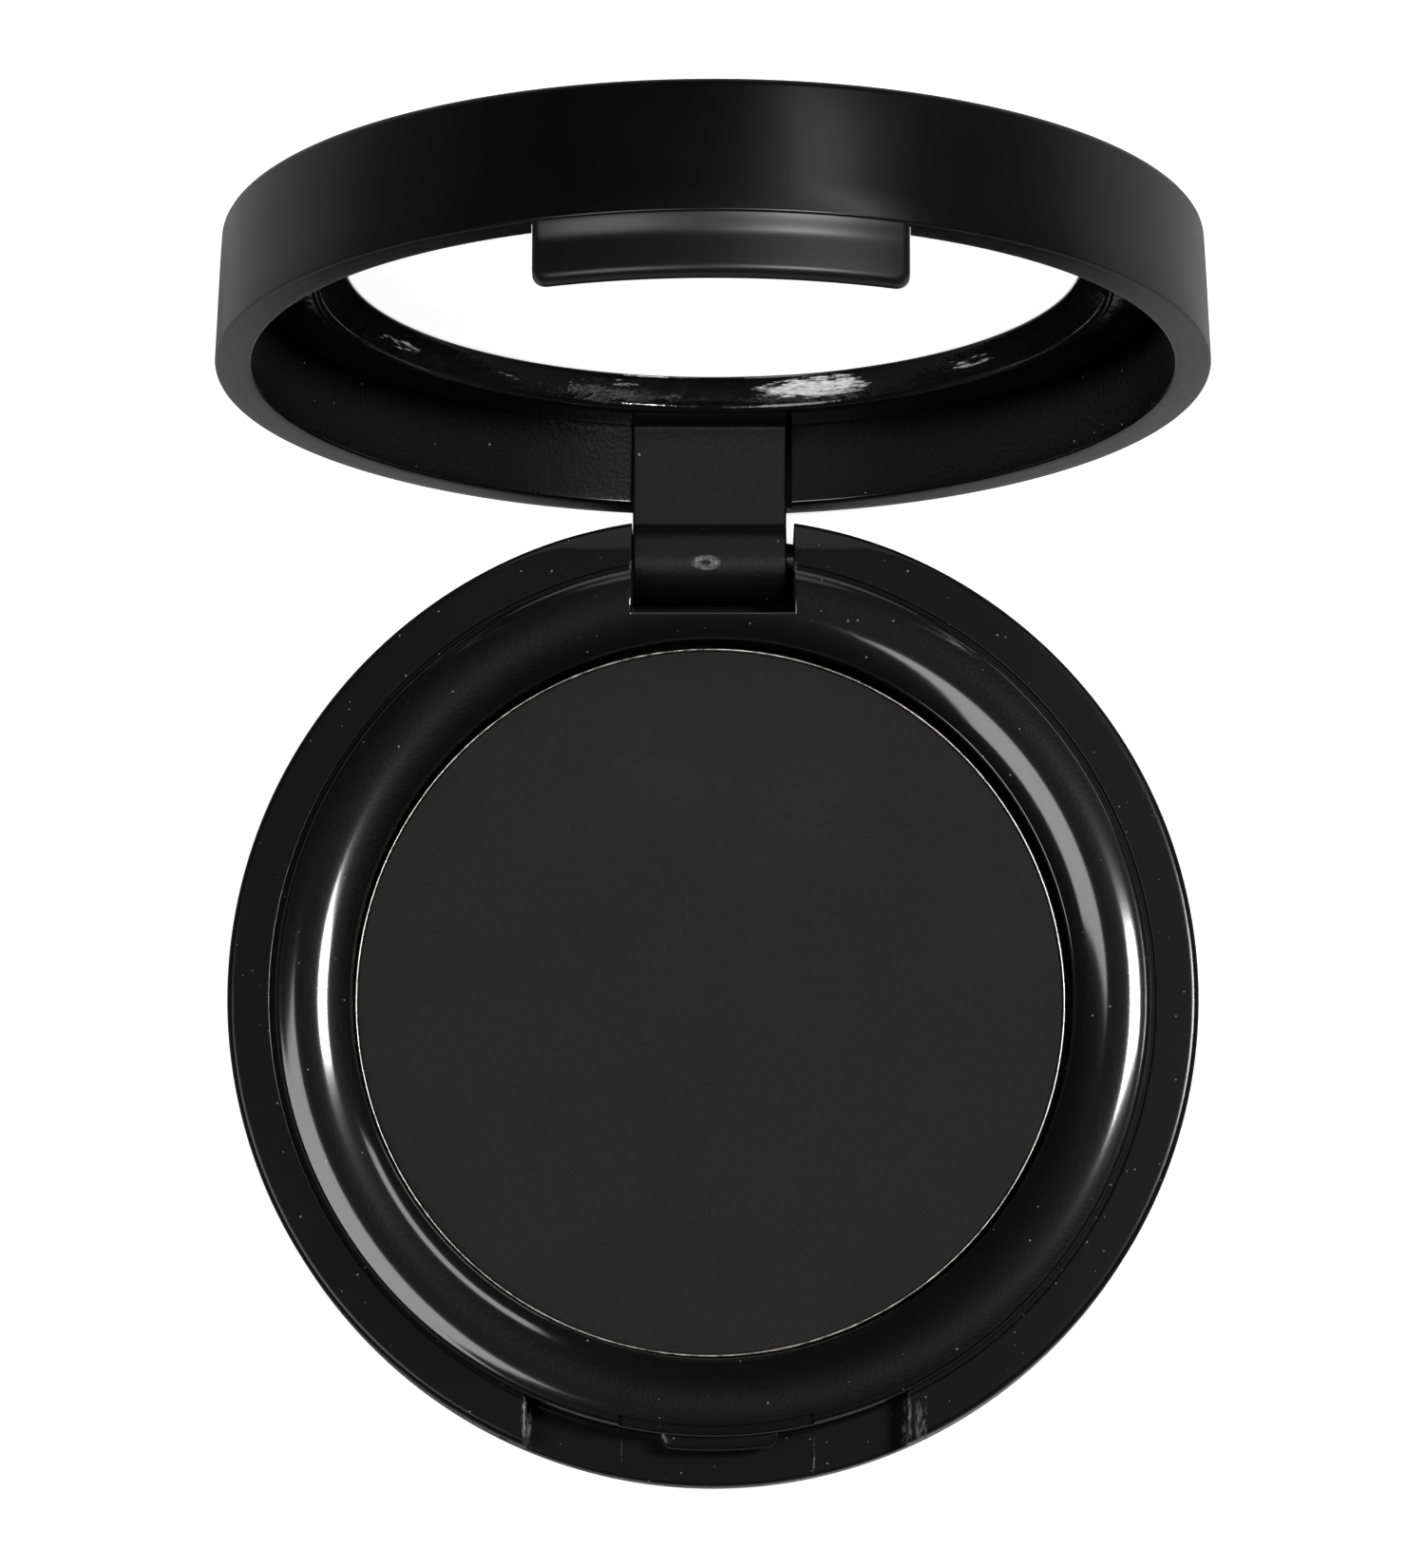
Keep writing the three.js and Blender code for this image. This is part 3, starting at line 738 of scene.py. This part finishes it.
deckPiece = joinSkins("baseDeck", makeDeck(), catchSkin())
deckPiece.data.materials.append(black["blackLedge"])
deckPiece.data.materials.append(black["blackRing"])
for face in deckPiece.data.polygons:
    middle = face.center / mm
    if deck["wellRadius"] < math.hypot(middle.x, middle.y) < ring["outer"] and middle.z > ledgeZ:
        face.material_index = 1
finishPiece(deckPiece, black["blackLedge"], "base", "base_deck")
print("deck made")


tray = {"radius": panHigh.x + 0.1, "sheet": 0.16, "corner": 0.5, "shift": (-0.17, -0.2, 0)}


# the pan sits a little off centre, within its play in the well
def makePan():
    radius, low, high = tray["radius"], panLow.z, panHigh.z
    sheet, corner = tray["sheet"], tray["corner"]
    bead = sheet / 2
    profile = [(0, low)]
    profile += arcPoints(radius - corner, low + corner, corner, -90, 0, 6)
    profile += arcPoints(radius - bead, high - bead, bead, 0, 180, 8)
    profile += arcPoints(radius - corner, low + corner, corner - sheet, 0, -90, 6)
    profile += [(0, low + sheet)]
    pan = lathe("pan", profile)
    pan.location = Vector(tray["shift"]) * mm
    return pan


cake = {"gap": 0.03, "foot": 0.3, "edge": 0.1, "wave": 0.02, "waveTurn": 0.9}


def makePowder():
    radius, foot, edge = tray["radius"] - tray["sheet"] - cake["gap"], cake["foot"], cake["edge"]
    low, top = powderLow.z, powderHigh.z
    profile = [(0, low), (radius - foot, low), (radius, low + foot), (radius, top - edge)]
    profile += arcPoints(radius - edge, top - edge, edge, 0, 90, 4)
    profile += [(r, top + cake["wave"] * math.sin(r * cake["waveTurn"]))
                for r in (20.5, 18, 14, 10, 6, 3)]
    profile += [(0, top)]
    powder = lathe("powderCake", profile)
    powder.location = Vector(tray["shift"]) * mm
    return powder


finishPiece(makePan(), plain["pressedTin"], "base", "pan")
finishPiece(makePowder(), pressedPowder, "base", "powder_cake")
print("pan and powder made")


def toLid(piece):
    piece.matrix_world = closedToOpen
    return piece


tab = {"inset": 0.5, "thickness": 1.0, "length": -tabLow.z, "corner": 0.9, "bead": 0.2,
       "root": 2.5, "rootThickness": 0.6, "edge": 0.62, "shoulder": 1.3, "flare": 0.4,
       "seat": 0.08, "pinch": 0.3, "shift": 0.47}
shell = {"rimWidth": 2.2, "height": shellHigh.z - 0.9, "crown": 0.9, "draft": 0.35,
         "topRound": 0.5, "rimRound": 0.18, "innerRound": 0.15, "cavityDraft": 0.3, "ceiling": linerLow.z,
         "innerTop": linerHigh.z + 0.25, "lugHalf": lugHalf + 0.1, "lugBack": 28.9,
         "tabHalf": tabHalf + 0.03, "tabRadius": 29.4, "tabDepth": 2.8,
         "cutsFrom": 26.0, "outsideFrom": 29.3, "insideTo": 29.45, "rimFlat": 0.004}


def makeShell():
    lines = spokes([shell["lugHalf"]], [shell["tabHalf"]], tab["shift"])
    cavity = baseRadius - shell["rimWidth"]
    ceiling = cavity - shell["cavityDraft"]
    topRadius = baseRadius - shell["draft"]
    domeRadius = topRadius - shell["topRound"]
    inner, outer = shell["innerRound"], shell["rimRound"]

    def dome(radius):
        return shell["height"] + shell["crown"] * (1 - (radius / domeRadius) ** 2)

    profile = [(20.0, shell["innerTop"]), (ceiling - 0.02, shell["innerTop"]),
               (ceiling, shell["innerTop"] - 0.02), (ceiling, shell["ceiling"])]
    depths = (3.9, shell["tabDepth"] + 0.02, shell["tabDepth"], 1.6, 0.6)
    profile += [(cavity - shell["cavityDraft"] * z / shell["ceiling"], z) for z in depths]
    profile += arcPoints(cavity + inner, inner, inner, 180, 270, 4)
    profile += [(28.5, 0), (29.2, 0)]
    profile += arcPoints(baseRadius - outer, outer, outer, -90, 0, 5)
    profile += [(baseRadius - shell["draft"] * z / shell["height"], z) for z in (2.0, 4.0, 6.0)]
    profile += arcPoints(domeRadius, shell["height"] - shell["topRound"], shell["topRound"], 0, 82, 7)
    profile += [(r, dome(r)) for r in (28.0, 26.0, 23.0, 19.0, 14.0, 8.0, 3.0)]

    # the inside gives way to the lug and the tab, and the rows after it lie on the outside
    rows = [[(0, 0, shell["innerTop"])]]
    outside = False
    for radius, z in profile:
        outside = outside or radius > shell["outsideFrom"]
        row = []
        for line in lines:
            x, y = onSpoke(line, radius)
            if not outside and radius > shell["cutsFrom"]:
                if isBack(line, shell["lugHalf"]):
                    y = max(y, shell["lugBack"])
                if isFront(line, shell["tabHalf"], tab["shift"]) and z <= shell["tabDepth"]:
                    y = -math.sqrt(shell["tabRadius"] ** 2 - x * x)
            row.append((x, y, z))
        rows.append(row)
    rows.append([(0, 0, dome(0))])
    return toMesh("lidShell", *weave(rows))


shellPiece = toLid(makeShell())
shellPiece.data.materials.append(black["blackShell"])
shellPiece.data.materials.append(black["blackInside"])
shellPiece.data.materials.append(black["blackEdge"])
for face in shellPiece.data.polygons:
    middle = face.center / mm
    inside = math.hypot(middle.x, middle.y) < shell["insideTo"]
    if inside and shell["rimFlat"] < middle.z < shell["innerTop"]:
        face.material_index = 2 if middle.z < shell["innerRound"] else 1
finishPiece(shellPiece, black["blackShell"], "lid", "lid_shell")
print("lid shell made")


liner = {"lip": 22.2, "lipZ": linerLow.z + 1.7, "lipEdge": 0.08, "mouth": 23.75,
         "coneTop": 6.45, "coneFoot": 5.2, "coneSteps": 8, "bulge": 0.06,
         "back": linerHigh.z - 0.02, "pocket": 23.2, "edge": 0.1,
         "gapHalf": lugHalf + 0.1, "gapY": 24.48}


def makeLiner():
    lines = spokes([liner["gapHalf"]], [])
    ceiling = shell["ceiling"]
    profile = [(liner["lip"], liner["lipZ"]), (liner["lip"], liner["lipZ"] - liner["lipEdge"])]
    coneStart = Vector((liner["lip"] + 0.03, liner["coneTop"]))
    coneEnd = Vector((liner["mouth"], liner["coneFoot"]))
    for i in range(liner["coneSteps"] + 1):
        share = i / liner["coneSteps"]
        at = coneStart.lerp(coneEnd, share)
        profile.append((at.x - liner["bulge"] * math.sin(math.pi * share), at.y))
    # the small bead between the cone and the flat
    profile += [(23.78, 5.08), (23.84, 4.99), (23.9, 4.92), (23.97, ceiling - 0.03),
                (24.05, ceiling - 0.04), (24.13, ceiling - 0.02), (24.2, ceiling + 0.03),
                (24.28, ceiling + 0.03), (24.36, ceiling)]
    profile += [(r, ceiling) for r in (25.0, 25.8, 26.6)]
    edge = liner["edge"]
    profile += arcPoints(linerRadius - edge, ceiling + edge, edge, -90, 0, 3)
    profile += [(linerRadius, liner["back"]), (liner["pocket"], liner["back"]),
                (liner["pocket"], liner["lipZ"])]
    rows = []
    for radius, z in profile + profile[:1]:
        row = []
        for line in lines:
            x, y = onSpoke(line, radius)
            if isBack(line, liner["gapHalf"]):
                y = min(y, liner["gapY"])
            row.append((x, y, z))
        rows.append(row)
    return toMesh("lidLiner", *weave(rows))


finishPiece(toLid(makeLiner()), glossBlack, "lid", "lid_liner")


film = {"edge": 0.03, "segments": 192}


def makeFilm():
    front, back, edge = filmLow.z, filmHigh.z, film["edge"]
    profile = [(0, front), (12, front), (glassRadius - edge, front), (glassRadius, front + edge),
               (glassRadius, back), (0, back)]
    return lathe("mirrorFilm", profile, film["segments"])


finishPiece(toLid(makeFilm()), plain["whiteFilmPaintedGlow"], "lid", "mirror_film")
print("liner and film made")


lug = {"knuckle": 2.4, "face": 0.6, "arm": 1.92, "foot": 1.9, "top": lugHigh.z, "corner": 0.3,
       "endRound": 0.16, "roundSteps": 4, "roundAngle": 60, "half": lugHalf - 0.025,
       "shift": -0.21}


# the lug's outline in (y, z) is pushed out along X, and its ends are rounded
def makeLug():
    knuckle, axisZ = lug["knuckle"], -rimAboveAxis
    front = hingeY - lug["face"]
    back = front + lug["arm"]
    footEnd = front - lug["foot"]
    faceAngle = math.degrees(math.acos(-lug["face"] / knuckle))
    backAngle = math.degrees(math.acos((back - hingeY) / knuckle))
    outline = arcPoints(hingeY, axisZ, knuckle, faceAngle, 360 + backAngle, 72)
    outline += [(back, lug["top"]), (footEnd, lug["top"]), (footEnd, shell["ceiling"])]
    corner = lug["corner"]
    outline += arcPoints(front - corner, shell["ceiling"] - corner, corner, 90, 0, 5)
    count, shift, half = len(outline), lug["shift"], lug["half"]
    points = [(shift - half, y, z) for y, z in outline]
    points += [(shift + half, y, z) for y, z in outline]
    faces = [tuple(range(count)), tuple(reversed(range(count, 2 * count)))]
    faces += [(i, i + count, (i + 1) % count + count, (i + 1) % count) for i in range(count)]
    piece = toMesh("hingeLug", points, faces, skin["barAngle"])
    ends = piece.modifiers.new("ends", "BEVEL")
    ends.width = lug["endRound"] * mm
    ends.segments = lug["roundSteps"]
    ends.limit_method = "ANGLE"
    ends.angle_limit = math.radians(lug["roundAngle"])
    ends.harden_normals = False
    return piece


finishPiece(toLid(makeLug()), black["blackLug"], "lid", "hinge_lug")


def makeTab():
    outer = baseRadius - tab["inset"]
    inner = outer - tab["thickness"]
    length, bead = tab["length"], tab["bead"]
    edge, shoulder = tab["edge"], tab["shoulder"]
    # the section goes from the bead round the tip and up the face to the root
    section = [(inner, -length + 0.95), (inner - bead * 0.6, -length + 0.78)]
    section += [(inner - bead, -length + 0.6), (inner - bead, -length + 0.3)]
    section += [(inner - bead * 0.3, -length + 0.06), (inner + 0.1, -length)]
    section += arcPoints(outer - edge, -length + edge, edge, -90, 0, 8)
    section += [(outer, -2.2), (outer, -1.8), (outer, -1.4)]
    heights = (-1.2, -1.0, -0.8, -0.6, -0.45, -0.3, -0.18, -0.08, 0.02, tab["seat"])
    section += [(outer + tab["flare"] * smoothStep(-shoulder, 0.3, z), z) for z in heights]
    rootOuter = inner + tab["rootThickness"]
    section += [(rootOuter, tab["seat"]), (rootOuter, tab["root"]), (inner, tab["root"])]
    # stations along the tab, close together at its ends
    ends = [0.0, 0.02, 0.06, 0.12, 0.2, 0.32, 0.48, 0.68, 0.9, 1.2]
    middle = [1.7 + 0.62 * i for i in range(31)]
    stations = ends + [m for m in middle if m < 2 * tabHalf - 1.6]
    stations += [2 * tabHalf - e for e in reversed(ends)]
    rows = []
    for station in stations:
        x = station - tabHalf
        inward = tabHalf - abs(x)
        lift = edgeDrop(inward, tab["corner"])
        pinch = edgeDrop(inward, tab["pinch"])
        row = []
        for r, z in section:
            low = z * (1 - lift / length) if z < -shoulder else z
            reach = min(max(r, inner - bead + pinch), max(r, outer) - pinch)
            across = x + tab["shift"]
            row.append((across, -math.sqrt(reach**2 - across**2), low))
        rows.append(row)
    points, faces = weave(rows)
    closeEnds(faces, len(points), len(section))
    return toMesh("latchTab", points, faces, skin["barAngle"])


finishPiece(toLid(makeTab()), black["blackTab"], "lid", "latch_tab")
print("lug and tab made")


def paintNode(name, material):
    slots = frame["nodes"][name].data.materials
    slots.clear()
    slots.append(material)


paintNode("hinge_pin", plain["pinSteel"])
paintNode("pan_adhesive", plain["adhesive"])
paintNode("mirror_glass", plain["silveredGlass"])
paintNode("mirror_tape", plain["adhesive"])


stage = {"floorHalf": 1.6, "floorZ": -0.00002, "floorTone": 0.6, "floorGlow": 0.9,
         "horizon": 0.16, "zenith": 0.008}


def makeFloor():
    half, z = stage["floorHalf"], stage["floorZ"]
    mesh = bpy.data.meshes.new("floor")
    corners = [(-half, -half, z), (half, -half, z), (half, half, z), (-half, half, z)]
    mesh.from_pydata(corners, [], [(0, 1, 2, 3)])
    floor = bpy.data.objects.new("floor", mesh)
    bpy.context.scene.collection.objects.link(floor)
    material, tree, shader = newMaterial("paleFloor")
    shader.inputs["Base Color"].default_value = grey(stage["floorTone"])
    shader.inputs["Roughness"].default_value = 0.8
    shader.inputs["Specular IOR Level"].default_value = 0.0
    shader.inputs["Emission Color"].default_value = grey(1.0)
    seen = node(tree, "ShaderNodeLightPath").outputs["Is Camera Ray"]
    glow = mathNode(tree, "MULTIPLY", seen, stage["floorGlow"])
    tree.links.new(glow, shader.inputs["Emission Strength"])
    floor.data.materials.append(material)


softboxes = {
    "rightStrip": {"azimuth": 11, "zenith": 19, "distance": 0.6, "width": 0.066, "height": 0.1,
                   "glow": 96.0},
    "leftFront": {"azimuth": 203, "zenith": 23, "distance": 0.75, "width": 0.28, "height": 0.28,
                  "glow": 6.7},
    "frontLow": {"azimuth": 270, "zenith": 80, "distance": 0.9, "width": 0.7, "height": 0.06,
                 "glow": 2.0},
    "rightBack": {"azimuth": 47, "zenith": 40, "distance": 0.8, "width": 0.34, "height": 0.08,
                  "glow": 6.5},
}


# a softbox aimed at the compact; its glow is the brightness of its face
def makeSoftbox(name, box):
    light = bpy.data.lights.new(name, "AREA")
    light.shape = "RECTANGLE"
    light.size, light.size_y = box["width"], box["height"]
    light.energy = box["glow"] * math.pi * box["width"] * box["height"]
    lamp = bpy.data.objects.new(name, light)
    bpy.context.scene.collection.objects.link(lamp)
    azimuth, zenith = math.radians(box["azimuth"]), math.radians(box["zenith"])
    across = math.sin(zenith)
    direction = Vector((across * math.cos(azimuth), across * math.sin(azimuth), math.cos(zenith)))
    lamp.location = Vector((0, 0, ledgeZ * mm)) + direction * box["distance"]
    lamp.rotation_euler = direction.to_track_quat("Z", "Y").to_euler()
    lamp.visible_camera = False


def makeWorld():
    world = bpy.data.worlds.new("studio")
    bpy.context.scene.world = world
    world.use_nodes = True
    tree = world.node_tree
    direction = node(tree, "ShaderNodeTexCoord").outputs["Generated"]
    up = node(tree, "ShaderNodeSeparateXYZ", {"Vector": direction}).outputs["Z"]
    horizon, zenith = stage["horizon"], stage["zenith"]
    sky = ramp(tree, up, [(0.0, grey(horizon)), (0.25, grey(horizon * 0.6)), (0.55, grey(zenith * 2)),
                          (1.0, grey(zenith))])
    tree.links.new(sky, tree.nodes["Background"].inputs["Color"])


# the view's height is measured at the ledge, and the aim is this far off the compact's axis, both
# in millimetres
camera = {"tilt": 4.0, "distance": 0.794, "viewHeight": 96.774, "aimRight": -0.029,
          "aimUp": 13.196, "sensor": 36.0, "near": 0.01, "far": 20.0}


def makeCamera():
    data = bpy.data.cameras.new("camera")
    eye = bpy.data.objects.new("camera", data)
    bpy.context.scene.collection.objects.link(eye)
    tilt = math.radians(camera["tilt"])
    back = Vector((0, -math.sin(tilt), math.cos(tilt)))
    up = Vector((0, math.cos(tilt), math.sin(tilt)))
    target = Vector((0, 0, ledgeZ * mm))
    aim = target + Vector((camera["aimRight"] * mm, 0, 0)) + up * camera["aimUp"] * mm
    eye.location = target + back * camera["distance"]
    view = (aim - eye.location).normalized()
    side = view.cross(up).normalized()
    top = side.cross(view).normalized()
    turn = Matrix((side, top, -view)).transposed()
    eye.matrix_world = Matrix.Translation(eye.location) @ turn.to_4x4()
    data.sensor_width = camera["sensor"]
    data.lens = camera["sensor"] * (aim - eye.location).length / (camera["viewHeight"] * mm)
    data.clip_start, data.clip_end = camera["near"], camera["far"]
    bpy.context.scene.camera = eye


makeFloor()
for name, box in softboxes.items():
    makeSoftbox(name, box)
makeWorld()
makeCamera()
bpy.context.scene.view_settings.view_transform = "Standard"
print("stage made")
